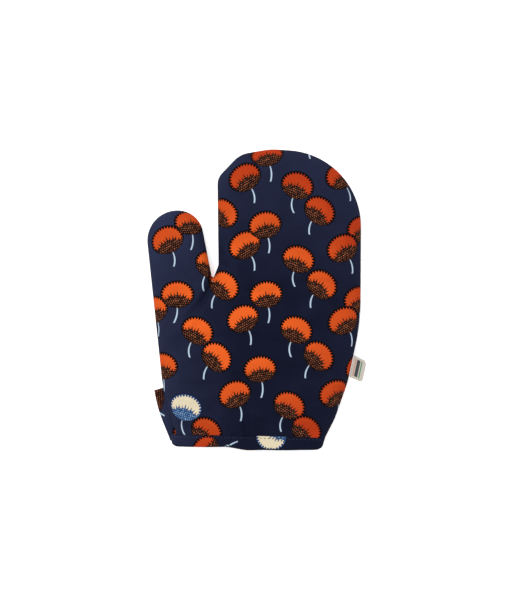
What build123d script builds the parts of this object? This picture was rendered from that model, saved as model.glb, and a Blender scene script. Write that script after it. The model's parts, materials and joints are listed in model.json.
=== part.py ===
from build123d import *
import math
import os

# An oven mitt that lies on its back: +X to the hand's right, +Y to the fingertips, +Z up.
# The origin is in the middle of its footprint, on the surface that it lies on. Millimetres.

# Envelope: a soft slab with rounded edges, and a side seam all round at SEAM_Z.
HEIGHT = 26.0
SEAM_Z = 12.0
TOP_ROUND = 13.9
BOTTOM_ROUND = 11.9
CUFF_RUNOUT = -190.0  # how far the outline runs on below the cuff before it is cut off

# Corners of the sewn outline from the cuff's left end round to its right: x, y, rounding.
OUTLINE = [
    (-64.7, CUFF_RUNOUT, 0.0),
    (-94.2, -85.0, 110.0),
    (-113.0, 91.1, 30.0),
    (-58.0, 87.8, 25.0),
    (-42.8, 21.8, 2.0),
    (-38.3, 34.5, 5.0),
    (-39.4, 121.5, 16.0),
    (-17.0, 145.0, 25.0),
    (14.0, 150.3, 60.0),
    (104.1, 143.9, 76.0),
    (103.2, -22.5, 220.0),
    (90.4, -82.5, 110.0),
    (77.5, -119.0, 80.0),
    (46.0, CUFF_RUNOUT, 0.0),
]

# Layers, from the outside in.
GAP = 0.1  # between two layers of one body
SHELL = 0.5
BATTING = 4.0
LINING = 0.5
BINDING_INNER = 0.8
BATTING_FACE = SHELL + GAP
LINING_FACE = BATTING_FACE + BATTING + GAP
CAVITY_FACE = LINING_FACE + LINING

# Cuff binding: a band folded over the open edge.
BINDING = [
    (-84.6, -134.2, 1.0),
    (70.0, -137.7, 1.0),
    (66.0, -149.75, 5.0),
    (-7.0, -149.75, 30.0),
    (-19.0, -148.0, 30.0),
    (-83.5, -146.3, 3.0),
]
BINDING_PROUD = 0.6  # above the slab's top
BINDING_FLOOR = 1.4  # fold of cloth between the layers' ends and the cuff's outer end
BINDING_LEFT = BINDING[0][0]
BINDING_RIGHT = BINDING[1][0]
BINDING_STOCK = 40.0  # length of the rounded block that the binding's outline is cut from

# Folds that let the soft mitt bend. The clearance is between two bodies.
CLEAR = 0.3
KNUCKLE_Y = 48.0
THUMB_FOLD_OUTER = (-107.0, 0.0)
THUMB_FOLD_INNER = (-46.0, 38.0)
NOTCH_X = -43.0  # line between the thumb and the hand
FAR = 400.0  # beyond everything, for the solids that only cut
MARGIN = 10.0  # how far those solids reach below and above the mitt

# Hanging loop: a flat tape, doubled, with its root under the cuff's left end.
LOOP_ROOT = (-82.5, -140.5)
LOOP_TIP = (-98.9, -89.6)
LOOP_WIDTH = 10.0
LOOP_PLY = 0.45
LOOP_INSIDE = 0.1

# Side label: a folded woven tab in the right side seam.
LABEL_TOP = (97.1, -55.6)
LABEL_BOTTOM = (92.5, -77.0)
LABEL_REACH = 13.7
LABEL_LEAN = -25.0  # direction in which it sticks out, degrees from +X
LABEL_PLY = 0.45
LABEL_OFFSET = 1.2  # from the seam line to the label's hinge line
LABEL_CORNER = 2.5
LABEL_INSIDE = 0.1  # between its two plies
LABEL_RIM = 1.0  # where the plies are joined at its sides and its fold

# Stitches.
STITCH_PITCH = 6.0
STITCH_LENGTH = 3.6
STITCH_RADIUS = 0.35
SEAM_INSET = 1.4
SEAM_CHANNEL = (0.5, 2.4)
CHANNEL_HALF = 0.7
TOPSTITCH_PITCH = 4.0
TOPSTITCH = (2.6, 0.6, 0.3)
TOPSTITCH_INSET = 2.0
TOPSTITCH_START = TOP_ROUND + 2.0  # from the cuff's two ends, past their rounding
BAR_COUNT = 5
BAR_FIRST = 2.0
BAR_PITCH = 1.1
BAR = (0.5, 6.0, 0.3)
POCKET_CLEAR = 0.08


def filleted_face(corners):
    """A flat face bounded by straight sides with rounded corners."""
    points = [(x, y) for x, y, _ in corners]
    radii = [r for _, _, r in corners]
    return make_face(FilletPolyline(*points, radius=radii, close=True))


def plan(inset):
    """The mitt's outline, moved inwards."""
    face = filleted_face(OUTLINE)
    return offset(face, amount=-inset) if inset else face


def slab(inset):
    """The mitt's envelope, moved inwards by the same distance on every side."""
    block = Pos(0, 0, inset) * extrude(plan(inset), HEIGHT - 2 * inset)
    top = [e for e in block.faces().sort_by(Axis.Z)[-1].edges() if not at_runout(e)]
    block = fillet(top, TOP_ROUND - inset)
    bottom = [e for e in block.faces().sort_by(Axis.Z)[0].edges() if not at_runout(e)]
    return fillet(bottom, BOTTOM_ROUND - inset)


def at_runout(edge):
    """True for the straight edge that closes the outline far below the cuff."""
    return edge.bounding_box().max.Y < CUFF_RUNOUT + BOTTOM_ROUND


def prism(points, low=-MARGIN, high=HEIGHT + MARGIN):
    """A vertical prism on a polygon."""
    return Pos(0, 0, low) * extrude(make_face(Polyline(*points, close=True)), high - low)


def cuff_line(shift):
    """Everything on the fingers' side of the binding's upper edge, moved by shift along Y."""
    (x0, y0, _), (x1, y1, _) = BINDING[0], BINDING[1]
    slope = (y1 - y0) / (x1 - x0)
    left = (-FAR, y0 + slope * (-FAR - x0) + shift)
    right = (FAR, y0 + slope * (FAR - x0) + shift)
    return prism([left, right, (FAR, FAR), (-FAR, FAR)])


def thumb_fold(side):
    """The thumb's fold line, moved by half the clearance to one side, as two far points."""
    (x0, y0), (x1, y1) = THUMB_FOLD_OUTER, THUMB_FOLD_INNER
    length = math.hypot(x1 - x0, y1 - y0)
    ux, uy = (x1 - x0) / length, (y1 - y0) / length
    shift = side * CLEAR / 2
    outer = (x0 - uy * shift - ux * FAR, y0 + ux * shift - uy * FAR)
    reach = (NOTCH_X - x0) / ux
    inner = (x0 - uy * shift + ux * reach, y0 + ux * shift + uy * reach)
    return outer, inner


def thumb_region():
    """The space of the thumb body."""
    outer, inner = thumb_fold(1)
    return prism([outer, inner, (NOTCH_X, FAR), (outer[0], FAR)])


def palm_region():
    """The space of the palm body: under the thumb's fold and the knuckle line."""
    outer, inner = thumb_fold(-1)
    knuckle = KNUCKLE_Y - CLEAR / 2
    points = [outer, inner, (NOTCH_X, knuckle), (FAR, knuckle), (FAR, -FAR), (outer[0], -FAR)]
    return prism(points)


def fingers_region():
    """The space of the fingers body."""
    knuckle = KNUCKLE_Y + CLEAR / 2
    points = [(NOTCH_X, knuckle), (FAR, knuckle), (FAR, FAR), (NOTCH_X, FAR)]
    return prism(points)


def half(front):
    """The space in front of the side seam, or behind it."""
    low, high = (SEAM_Z, HEIGHT + MARGIN) if front else (-MARGIN, SEAM_Z)
    return prism([(-FAR, -FAR), (FAR, -FAR), (FAR, FAR), (-FAR, FAR)], low, high)


def channel(inset_low, inset_high):
    """A low ring that follows the side seam, where the seam's thread lies."""
    ring = plan(inset_low) - plan(inset_high)
    return Pos(0, 0, SEAM_Z - CHANNEL_HALF) * extrude(ring, 2 * CHANNEL_HALF)


def panels(layer, cut):
    """One layer as six pieces, a front and a back one for each body."""
    pieces = {}
    for body, region in REGIONS.items():
        for side, front in (("front", True), ("back", False)):
            pieces[f"{body}_{side}"] = layer & half(front) & region & cut
    return pieces


def stitch_run():
    """Stitches along the side seam, as solids with their places."""
    seam = offset(plan(0), amount=-SEAM_INSET).wire()
    count = int(seam.length / STITCH_PITCH)
    stitches = []
    for i in range(count):
        at = seam.position_at(i / count)
        tangent = seam.tangent_at(i / count)
        plane = Plane(origin=at + Vector(0, 0, SEAM_Z), z_dir=tangent)
        thread = Cylinder(STITCH_RADIUS, STITCH_LENGTH)
        stitches.append((at, plane * thread))
    return stitches


def body_of(at):
    """The body whose cloth a stitch lies in, or None where it would cross a fold."""
    (x0, y0), (x1, y1) = THUMB_FOLD_OUTER, THUMB_FOLD_INNER
    length = math.hypot(x1 - x0, y1 - y0)
    past = ((y1 - y0) * (x0 - at.X) + (x1 - x0) * (at.Y - y0)) / length
    margin = STITCH_LENGTH / 2 + CLEAR
    if at.X < NOTCH_X and abs(past) > margin:
        return "thumb" if past > 0 else "palm"
    if at.X > NOTCH_X and abs(at.Y - KNUCKLE_Y) > margin:
        return "fingers" if at.Y > KNUCKLE_Y else "palm"
    return None


def seam_threads():
    """The side seam's stitches, grouped by body. None lie inside the cuff binding."""
    groups = {"palm": [], "fingers": [], "thumb": []}
    lowest = BINDING[0][1] + STITCH_LENGTH
    for at, thread in stitch_run():
        owner = body_of(at)
        if owner and at.Y > lowest:
            groups[owner].append(thread)
    return {body: Compound(children=threads) for body, threads in groups.items()}


def binding_block():
    """The cuff binding's outside, before the layers and the mouth are taken out of it."""
    across, along = (BINDING_LEFT + BINDING_RIGHT) / 2, (BINDING[0][1] + BINDING[2][1]) / 2
    width, tall = BINDING_RIGHT - BINDING_LEFT, HEIGHT + BINDING_PROUD
    block = Pos(across, along, tall / 2) * Box(width, BINDING_STOCK, tall)
    along = block.edges().filter_by(Axis.Y).sort_by(Axis.Z)
    block = fillet(along[2:], TOP_ROUND)
    along = block.edges().filter_by(Axis.Y).sort_by(Axis.Z)
    block = fillet(along[:2], BOTTOM_ROUND)
    return block & (Pos(0, 0, -MARGIN) * extrude(filleted_face(BINDING), HEIGHT + 2 * MARGIN))


def band(low, high):
    """A slice of space across the cuff, between two Y values."""
    return prism([(-FAR, low), (FAR, low), (FAR, high), (-FAR, high)])


def topstitch_places():
    """Places of the topstitches along the binding's upper edge."""
    (x0, y0, _), (x1, y1, _) = BINDING[0], BINDING[1]
    slope = (y1 - y0) / (x1 - x0)
    first, last = x0 + TOPSTITCH_START, x1 - TOPSTITCH_START
    count = int((last - first) / TOPSTITCH_PITCH)
    for i in range(count + 1):
        x = first + i * TOPSTITCH_PITCH
        yield x, y0 + slope * (x - x0) - TOPSTITCH_INSET, math.degrees(math.atan(slope))


def topstitches(grow):
    """The binding's topstitches on both faces, or their pockets when grown."""
    length, width, depth = TOPSTITCH
    size = (length + 2 * grow, width + 2 * grow, depth + grow)
    top = HEIGHT + BINDING_PROUD - size[2] / 2
    solids = []
    for x, y, turn in topstitch_places():
        for z in (size[2] / 2, top):
            solids.append(Pos(x, y, z) * Rot(0, 0, turn) * Box(*size))
    return Compound(children=solids)


def cuff_binding(slabs):
    """A U-shaped band: outer wall, end fold and inner wall, open in the middle."""
    block = binding_block()
    end = BINDING[5][1] + BINDING_FLOOR
    slot = (slabs["shell_inside"] - slabs["cavity"]) & band(end, 0)
    mouth = slabs["mouth"]
    return block - slot - mouth - topstitches(POCKET_CLEAR)


def loop_strip(low, high, inner):
    """A flat strip with a round root end, between two heights; inner shortens its far end."""
    (x0, y0), (x1, y1) = LOOP_ROOT, LOOP_TIP
    length = math.hypot(x1 - x0, y1 - y0) - inner
    turn = math.degrees(math.atan2(y1 - y0, x1 - x0))
    bar = Pos(length / 2, 0, 0) * Box(length, LOOP_WIDTH + 2 * inner, high - low)
    strip = bar if inner else bar + Cylinder(LOOP_WIDTH / 2, high - low)
    return Pos(x0, y0, (low + high) / 2) * Rot(0, 0, turn) * strip


def hanging_loop():
    """Two plies of tape, joined by the fold at the far end."""
    total = 2 * LOOP_PLY + LOOP_INSIDE
    gap = loop_strip(LOOP_PLY, LOOP_PLY + LOOP_INSIDE, LOOP_PLY)
    return loop_strip(0, total, 0) - gap


def loop_bartack():
    """Short bars of thread across the loop's root, on its upper face."""
    (x0, y0), (x1, y1) = LOOP_ROOT, LOOP_TIP
    turn = math.degrees(math.atan2(y1 - y0, x1 - x0))
    top = 2 * LOOP_PLY + LOOP_INSIDE
    bars = []
    for i in range(BAR_COUNT):
        bar = Pos(BAR_FIRST + BAR_PITCH * i, 0, top + BAR[2] / 2) * Box(*BAR)
        bars.append(Pos(x0, y0, 0) * Rot(0, 0, turn) * bar)
    return Compound(children=bars)


def side_label():
    """A folded tab: two plies that meet in a fold at the outer end."""
    (x0, y0), (x1, y1) = LABEL_TOP, LABEL_BOTTOM
    lean = math.radians(LABEL_LEAN)
    reach = (LABEL_REACH * math.cos(lean), LABEL_REACH * math.sin(lean))
    away = (math.cos(lean) * LABEL_OFFSET, math.sin(lean) * LABEL_OFFSET)
    root = [(x0 + away[0], y0 + away[1]), (x1 + away[0], y1 + away[1])]
    tip = [(x1 + reach[0], y1 + reach[1]), (x0 + reach[0], y0 + reach[1])]
    corners = [(*root[0], 0.0), (*root[1], 0.0), (*tip[0], LABEL_CORNER), (*tip[1], LABEL_CORNER)]
    half_thick = LABEL_PLY + LABEL_INSIDE / 2
    tab = Pos(0, 0, SEAM_Z - half_thick) * extrude(filleted_face(corners), 2 * half_thick)
    inside = offset(filleted_face(corners), amount=-LABEL_RIM)
    middle = Pos(0, 0, SEAM_Z - LABEL_INSIDE / 2) * extrude(inside, LABEL_INSIDE)
    back = LABEL_RIM + LABEL_INSIDE  # the slit is moved back until it is open at the seam
    slit = Pos(-back * math.cos(lean), -back * math.sin(lean), 0) * middle
    return tab - slit


def save(name, shape):
    """Writes one node."""
    export_step(shape, f"parts/{name}.step")


REGIONS = {"palm": palm_region(), "fingers": fingers_region(), "thumb": thumb_region()}


def main():
    os.makedirs("parts", exist_ok=True)
    slabs = {
        "outside": slab(0),
        "shell_inside": slab(SHELL),
        "batting_outside": slab(BATTING_FACE),
        "batting_inside": slab(BATTING_FACE + BATTING),
        "lining_outside": slab(LINING_FACE),
        "cavity": slab(CAVITY_FACE + GAP),
        "lining_inside": slab(CAVITY_FACE),
        "mouth": slab(CAVITY_FACE + GAP + BINDING_INNER),
    }
    layer_end = band(BINDING[5][1] + BINDING_FLOOR + GAP, FAR)
    shell = slabs["outside"] - slabs["shell_inside"]
    batting = slabs["batting_outside"] - slabs["batting_inside"] - channel(*SEAM_CHANNEL)
    lining = slabs["lining_outside"] - slabs["lining_inside"]
    for name, piece in panels(shell, cuff_line(GAP)).items():
        save(f"{name}_shell", piece)
    for name, piece in panels(batting, layer_end).items():
        save(f"{name}_batting", piece)
    for name, piece in panels(lining, layer_end).items():
        save(f"{name}_lining", piece)
    for body, threads in seam_threads().items():
        save(f"{body}_seam_thread", threads)
    save("cuff_binding", cuff_binding(slabs))
    save("binding_topstitch", topstitches(0))
    save("hanging_loop", hanging_loop())
    save("loop_bartack", loop_bartack())
    save("side_label", side_label())


main()
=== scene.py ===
import json
import math

import bpy
import numpy as np
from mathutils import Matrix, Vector, noise
from mathutils.geometry import delaunay_2d_cdt


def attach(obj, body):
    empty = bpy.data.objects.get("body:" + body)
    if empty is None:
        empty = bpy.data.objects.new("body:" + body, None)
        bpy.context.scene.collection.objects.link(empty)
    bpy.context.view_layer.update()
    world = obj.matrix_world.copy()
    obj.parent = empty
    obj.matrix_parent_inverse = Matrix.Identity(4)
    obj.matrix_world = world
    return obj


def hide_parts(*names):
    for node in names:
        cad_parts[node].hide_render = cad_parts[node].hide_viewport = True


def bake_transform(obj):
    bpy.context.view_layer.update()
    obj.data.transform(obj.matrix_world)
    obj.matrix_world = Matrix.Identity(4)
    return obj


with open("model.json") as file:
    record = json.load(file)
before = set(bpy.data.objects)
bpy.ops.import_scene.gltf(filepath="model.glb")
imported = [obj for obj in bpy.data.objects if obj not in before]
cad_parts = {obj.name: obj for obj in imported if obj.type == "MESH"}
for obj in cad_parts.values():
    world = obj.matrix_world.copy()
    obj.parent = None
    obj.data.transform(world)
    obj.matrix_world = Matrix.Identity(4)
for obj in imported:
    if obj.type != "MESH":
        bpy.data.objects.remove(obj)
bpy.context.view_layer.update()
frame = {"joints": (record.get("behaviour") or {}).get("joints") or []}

# The sewn shape is worked out in millimetres and turned into metres when a mesh is made.
MM = 0.001
SEAM_Z = 12.0  # height of the side seam above the surface that the mitt lies on
FRONT_RISE = 13.6  # from the seam to the top of the front panel
BACK_DROP = 11.7  # from the seam to the underside of the back panel
EDGE_ROLL = 21.0  # how far in from the seam the cloth is still rolling over
SEAM_GROOVE = 0.7  # how far the seam is drawn in between the two panels
BULGE = 0.75  # how far the rolled edge stands out past its plan
SPACING = 2.3  # between the points of a panel's mesh
EDGE_ROWS = (0.2, 0.6, 1.3, 2.4)  # rows of points just inside the seam, where the cloth is steep
LAYER_INSET, INSET_FADE = 0.95, 26.0  # a deeper layer's step in from the seam, and where it ends
LUMPS = ((0.75, 46.0), (0.35, 17.0))  # heights and sizes of the padding's lumps
PUCKER, PUCKER_LONG, PUCKER_AT = 0.9, 5.5, 4.0  # ripples along the seam: height, length, place

# Corners of the sewn outline from the cuff's left end round to its right: x, y, rounding.
OUTLINE = [
    (-64.7, -190.0, 0.0),
    (-94.2, -85.0, 110.0),
    (-113.0, 91.1, 30.0),
    (-58.0, 87.8, 25.0),
    (-44.5, 18.5, 1.6),
    (-38.3, 34.5, 5.0),
    (-39.4, 121.5, 16.0),
    (-17.0, 145.0, 25.0),
    (14.0, 150.3, 60.0),
    (104.1, 143.9, 76.0),
    (103.2, -22.5, 220.0),
    (90.4, -82.5, 110.0),
    (77.5, -119.0, 80.0),
    (41.0, -190.0, 0.0),
]

# The cuff binding's upper and lower edges, and its two ends.
BINDING_LEFT, BINDING_RIGHT, BINDING_LEAN = -84.8, 68.6, 0.3
BINDING_TOP, BINDING_TOP_FALL = -134.4, 3.1
BINDING_LOW, BINDING_LOW_FALL = -146.4, 3.2
CLOTH_END = -142.0  # where the panels end inside the binding


def joint(name):
    """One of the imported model's joints."""
    return next(j for j in frame["joints"] if j["name"] == name)


def unit(v):
    """A vector's direction."""
    v = np.asarray(v, float)
    return v / np.linalg.norm(v)


FINGER_JOINT = joint("finger_curl")
THUMB_JOINT = joint("thumb_pinch")
THUMB_AXIS = unit(THUMB_JOINT["axis"][:2])
THUMB_ACROSS = np.array([-THUMB_AXIS[1], THUMB_AXIS[0]])  # from the palm into the thumb
THUMB_AT = np.array(THUMB_JOINT["pos_m"][:2]) / MM
KNUCKLE_Y = FINGER_JOINT["pos_m"][1] / MM
FINGER_BEND = (-14.0, 32.0)  # where the fingers' bend starts and ends, from the knuckle line
THUMB_BEND = (-12.0, 20.0)  # the same from the thumb's fold


# ---------------------------------------------------------------- outline and surface


def rounded_path(corners, step):
    """Points along straight sides and rounded corners, no further apart than step."""
    pts = np.array([c[:2] for c in corners], float)
    path = [pts[0]]
    for i in range(1, len(corners) - 1):
        back, on = unit(pts[i - 1] - pts[i]), unit(pts[i + 1] - pts[i])
        half = math.acos(np.clip(back @ on, -1, 1)) / 2
        r = corners[i][2]
        centre = pts[i] + unit(back + on) * r / math.sin(half)
        first = pts[i] + back * r / math.tan(half) - centre
        last = pts[i] + on * r / math.tan(half) - centre
        a0, a1 = math.atan2(first[1], first[0]), math.atan2(last[1], last[0])
        turn = (a1 - a0 + math.pi) % (2 * math.pi) - math.pi
        count = max(3, math.ceil(abs(turn) * r / step) + 1)
        for a in a0 + turn * np.linspace(0, 1, count):
            path.append(centre + r * np.array([math.cos(a), math.sin(a)]))
    path.append(pts[-1])
    return even(np.array(path), step)


def even(path, step):
    """The same line with its points evenly spaced."""
    along = np.concatenate([[0], np.cumsum(np.linalg.norm(np.diff(path, axis=0), axis=1))])
    at = np.linspace(0, along[-1], max(2, math.ceil(along[-1] / step) + 1))
    return np.stack([np.interp(at, along, path[:, k]) for k in (0, 1)], axis=1)


EDGE = rounded_path(OUTLINE, 0.6)
EDGE_ALONG = np.concatenate([[0], np.cumsum(np.linalg.norm(np.diff(EDGE, axis=0), axis=1))])


def to_edge(points):
    """For each point: distance to the side seam, direction towards it, and place along it."""
    a, ab = EDGE[:-1], np.diff(EDGE, axis=0)
    length = (ab**2).sum(1)
    far, way, along = [], [], []
    for block in np.array_split(points, max(1, len(points) // 400)):
        t = ((block[:, None] - a) * ab).sum(2) / length
        q = a + np.clip(t, 0, 1)[..., None] * ab
        gap = np.linalg.norm(q - block[:, None], axis=2)
        i = gap.argmin(1)
        row = np.arange(len(block))
        d = gap[row, i]
        side = np.stack([-ab[i, 1], ab[i, 0]], 1) / np.sqrt(length[i])[:, None]
        n = np.where(d[:, None] > 0.2, (q[row, i] - block) / np.maximum(d, 1e-9)[:, None], side)
        far.append(d)
        way.append(n)
        along.append(EDGE_ALONG[i] + np.clip(t[row, i], 0, 1) * np.sqrt(length[i]))
    return np.concatenate(far), np.concatenate(way), np.concatenate(along)


def roll(t):
    """The edge's cross-section: 0 at the seam, 1 where the cloth has levelled out."""
    t = np.clip(t, 0, 1)
    return (1 - (1 - t) ** 2.3) ** 0.6


def smooth(x, low, high):
    """An eased step from 0 at low to 1 at high."""
    t = np.clip((x - low) / (high - low), 0, 1)
    return t * t * (3 - 2 * t)


def roll_length(rise):
    """How much longer the cloth is than its plan, between the seam and each distance from it."""
    d = np.linspace(0, EDGE_ROLL, 400)
    z = rise * roll(d / EDGE_ROLL)
    step = np.hypot(np.diff(d), np.diff(z)) - np.diff(d)
    extra = np.concatenate([[0], np.cumsum(step)])
    return d, extra[-1] - extra


def lumps(points, size, seed):
    """Smooth noise, about -1 to 1, with lumps of about that size in millimetres."""
    return np.array([noise.noise(Vector((x / size, y / size, seed))) for x, y in points])


def near_line(points, line):
    """Distance to a polyline, signed to its left, and the share of its length at that place."""
    line = np.array(line, float)
    steps = np.diff(line, axis=0)
    lengths = np.linalg.norm(steps, axis=1)
    starts = np.concatenate([[0], np.cumsum(lengths)])
    best = np.full(len(points), np.inf)
    share, sign = np.zeros(len(points)), np.ones(len(points))
    for p, v, long, start in zip(line, steps, lengths, starts):
        t = np.clip((points - p) @ v / long**2, 0, 1)
        off = points - p - t[:, None] * v
        gap = np.linalg.norm(off, axis=1)
        closer = gap < best
        best = np.where(closer, gap, best)
        share = np.where(closer, (start + t * long) / starts[-1], share)
        sign = np.where(closer, np.sign(v[0] * off[:, 1] - v[1] * off[:, 0]), sign)
    return best * sign, share


# Soft folds pressed into the front panel: route, depth, half width.
FOLDS = [
    ([(-43.5, 24.0), (-47.0, 12.0), (-53.0, 1.5), (-62.0, -11.0), (-74.0, -25.0)], 6.6, 2.8),
    ([(-10.0, -138.0), (-11.0, -122.0), (-16.0, -102.0)], 2.3, 2.8),
    ([(-24.0, -137.0), (-26.0, -124.0), (-30.0, -110.0)], 1.8, 3.2),
    ([(40.0, -138.0), (41.0, -126.0), (38.0, -112.0)], 1.3, 4.0),
]


def relief(points, d, along, front):
    """Heights added to the plain pillow shape: folds, lumps and puckers along the seam."""
    seed = 3.7 if front else 9.1
    out = sum(high * lumps(points, size, seed + 2 * k) for k, (high, size) in enumerate(LUMPS))
    if front:
        for line, depth, width in FOLDS:
            gap, share = near_line(points, line)
            fade = (1 - share) ** 0.8
            out -= depth * fade * np.exp(-((gap / width) ** 2))
            beside = np.exp(-(((np.abs(gap) - 2.5 * width) / (1.2 * width)) ** 2))
            out += 0.22 * depth * fade * beside * np.where(gap < 0, 1.3, 0.7)
    ripple = lumps(np.stack([along, np.full(len(along), seed * 10)], 1), PUCKER_LONG, seed)
    out += PUCKER * ripple * np.exp(-((d - PUCKER_AT) / PUCKER_AT) ** 2)
    out *= smooth(d, 0, 5.0)
    return out if front else BACK_SHARE * out


def binding_top(x):
    """The binding's upper edge, which falls a little towards the right."""
    share = (x - BINDING_LEFT) / (BINDING_RIGHT - BINDING_LEFT)
    return BINDING_TOP - BINDING_TOP_FALL * share**2


def binding_low(x):
    """The binding's lower edge, with the step where its ends overlap and its round corners."""
    low = BINDING_LOW - BINDING_LOW_FALL * smooth(x, -32.0, -4.0) + 0.15 * np.sin(x / 6.5)
    return low + corner(x - BINDING_LEFT, 3.5) + corner(BINDING_RIGHT - x, 3.0)


def corner(gap, radius):
    """How far a round corner draws an edge back, at a distance from the other edge."""
    near = np.clip(radius - gap, 0, radius)
    return radius - np.sqrt(radius**2 - near**2)


def binding_ends(y):
    """The binding's two ends: the left one is square, the right one leans with the seam."""
    return BINDING_LEFT + 0 * y, BINDING_RIGHT + BINDING_LEAN * (y - BINDING_TOP)


NET = {}  # the simulated cushion's points, and the front's and the back's wrinkles at them
NET_BLUR = 2.2  # how far its heights are averaged when the panels take them up
BACK_SHARE = 0.25  # how much of the relief shows on the back, which lies on a surface


def wrinkles(points, front):
    """Heights of the simulated wrinkles at each point."""
    if not NET:
        return np.zeros(len(points))
    rise = blurred(points, NET["points"], NET[front], NET_BLUR)
    return rise if front else BACK_SHARE * rise


def blurred(points, places, values, width):
    """The values at some places, averaged round each point."""
    out = []
    for block in np.array_split(points, max(1, len(points) // 400)):
        gap = ((block[:, None] - places) ** 2).sum(2)
        weight = np.exp(-gap / (2 * width**2)) + 1e-12
        out.append(weight @ values / weight.sum(1))
    return np.concatenate(out)


class Plan:
    """Points seen from above, with what the sewn shape needs to know about each."""

    def __init__(self, points):
        """Measures each point's gap to the seam and its relief."""
        self.points = points
        self.d, self.out, along = to_edge(points)
        self.relief = {}
        for front in (True, False):
            settled = wrinkles(points, front) * smooth(self.d, 0, 5.0)
            self.relief[front] = relief(points, self.d, along, front) + settled

    def heights(self, front):
        """Height of the outer cloth above or below the seam."""
        rise = FRONT_RISE if front else BACK_DROP
        narrowing = 1 - 0.1 * smooth(-self.points[:, 1], 110.0, 136.0)
        full = rise * roll(self.d / EDGE_ROLL) * narrowing + self.relief[front]
        return np.maximum(full, 0)

    def layer(self, front, depth):
        """The surface that deep in the layers under the outer cloth, in millimetres."""
        rise = FRONT_RISE if front else BACK_DROP
        height = self.heights(front) * (rise - depth) / rise
        inset = (LAYER_INSET * depth - BULGE) * (1 - smooth(self.d, 0, INSET_FADE))
        if depth < 1:
            inset += (SEAM_GROOVE + BULGE) * np.exp(-((height / 1.3) ** 2))
        plan = self.points - self.out * inset[:, None]
        z = SEAM_Z + height if front else np.maximum(SEAM_Z - height, 0.15 + depth)
        return np.column_stack([plan, z])

    def flat(self, front):
        """The points' places on the flat cloth, which is longer than its plan at the edges."""
        at, extra = ROLL_EXTRA[front]
        return self.points + self.out * np.interp(self.d, at, extra)[:, None]


ROLL_EXTRA = {True: roll_length(FRONT_RISE), False: roll_length(BACK_DROP)}


# ---------------------------------------------------------------- flat panels


def crotch():
    """The lowest point of the notch between the thumb and the hand."""
    zone = (EDGE[:, 0] > -50) & (EDGE[:, 0] < -36) & (EDGE[:, 1] < 60)
    return np.flatnonzero(zone)[EDGE[zone, 1].argmin()]


def seam_marks():
    """Where along the outline the cuff's two ends, the cut's left end and the notch are."""
    tip = crotch()
    past = (EDGE - EDGE[tip]) @ THUMB_ACROSS
    left = next(i for i in range(tip) if EDGE[i, 1] > -60 and past[i] >= 0)
    first = next(i for i, p in enumerate(EDGE) if p[1] > CLOTH_END)
    last = len(EDGE) - 1 - next(i for i, p in enumerate(EDGE[::-1]) if p[1] > CLOTH_END)
    return {"first": first, "left": left, "tip": tip, "last": last}


def seam_places():
    """The same marks as distances along the outline."""
    return {name: float(EDGE_ALONG[i]) for name, i in seam_marks().items()}


def edge_rows(line):
    """Points along a line, closer together at its two ends where the cloth rolls over."""
    long = float(np.linalg.norm(line[-1] - line[0]))
    last = EDGE_ROWS[-1]
    middle = np.linspace(last, long - last, math.ceil((long - 2 * last) / SPACING) + 1)
    closing = long - np.array(EDGE_ROWS[-2::-1])
    at = np.concatenate([[0], EDGE_ROWS[:-1], middle, closing, [long]])
    return line[0] + np.outer(at / long, line[-1] - line[0])


def cut_loops():
    """The thumb's and the hand's outlines, which share the cut under the thumb."""
    marks = seam_marks()
    runs = (("first", "left"), ("left", "tip"), ("tip", "last"))
    side = [even(EDGE[marks[a] : marks[b] + 1], SPACING) for a, b in runs]
    cut = edge_rows(EDGE[[marks["left"], marks["tip"]]])
    cuff = edge_rows(EDGE[[marks["last"], marks["first"]]])
    thumb = np.concatenate([side[1][:-1], cut[::-1][:-1]])
    hand = np.concatenate([side[0][:-1], cut[:-1], side[2][:-1], cuff[:-1]])
    seams = {"hand": [side[0], side[2]], "thumb": [side[1]]}
    straight = {"hand": np.concatenate([cut, cuff]), "thumb": cut}
    loops = {"hand": hand, "thumb": thumb}
    return {part: (loop, seams[part], straight[part]) for part, loop in loops.items()}


def inset_rows(side):
    """Rows of points just inside a stretch of the side seam."""
    along = np.gradient(side, axis=0)
    inward = np.stack([along[:, 1], -along[:, 0]], 1) / np.linalg.norm(along, axis=1)[:, None]
    return np.concatenate([side[1:-1] + inward[1:-1] * depth for depth in EDGE_ROWS])


def fill(loop, seams, straight):
    """Triangles inside a loop of points: the points, and three indices each."""
    inner = staggered(loop, SPACING)
    inner = inner[loop_gap(inner, straight) > 0.62 * SPACING]
    inner = inner[to_edge(inner)[0] > EDGE_ROWS[-1] + 0.5 * SPACING]
    near = np.concatenate([inset_rows(side) for side in seams])
    near = near[inside(near, loop) & (loop_gap(near, straight) > 0.5 * SPACING)]
    return triangles(loop, np.concatenate([near, inner]))


def staggered(loop, step):
    """Evenly spaced points inside a loop, in staggered rows."""
    low, high = loop.min(0), loop.max(0)
    points = []
    for k, y in enumerate(np.arange(low[1], high[1], step * math.sqrt(3) / 2)):
        points += [(x, y) for x in np.arange(low[0] + (k % 2) * step / 2, high[0], step)]
    points = np.array(points)
    return points[inside(points, loop)]


def triangles(loop, inner):
    """Triangles over a loop and the points inside it, all turned the same way."""
    verts = [Vector(p) for p in np.concatenate([loop, inner])]
    found = delaunay_2d_cdt(verts, [], [list(range(len(loop)))], 1, 1e-4)
    points, tris = np.array([tuple(v) for v in found[0]]), np.array(found[2])
    a, b, c = (points[tris[:, k]] for k in range(3))
    turned = (b[:, 0] - a[:, 0]) * (c[:, 1] - a[:, 1]) < (b[:, 1] - a[:, 1]) * (c[:, 0] - a[:, 0])
    tris[turned] = tris[turned][:, ::-1]
    return points, tris


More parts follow.
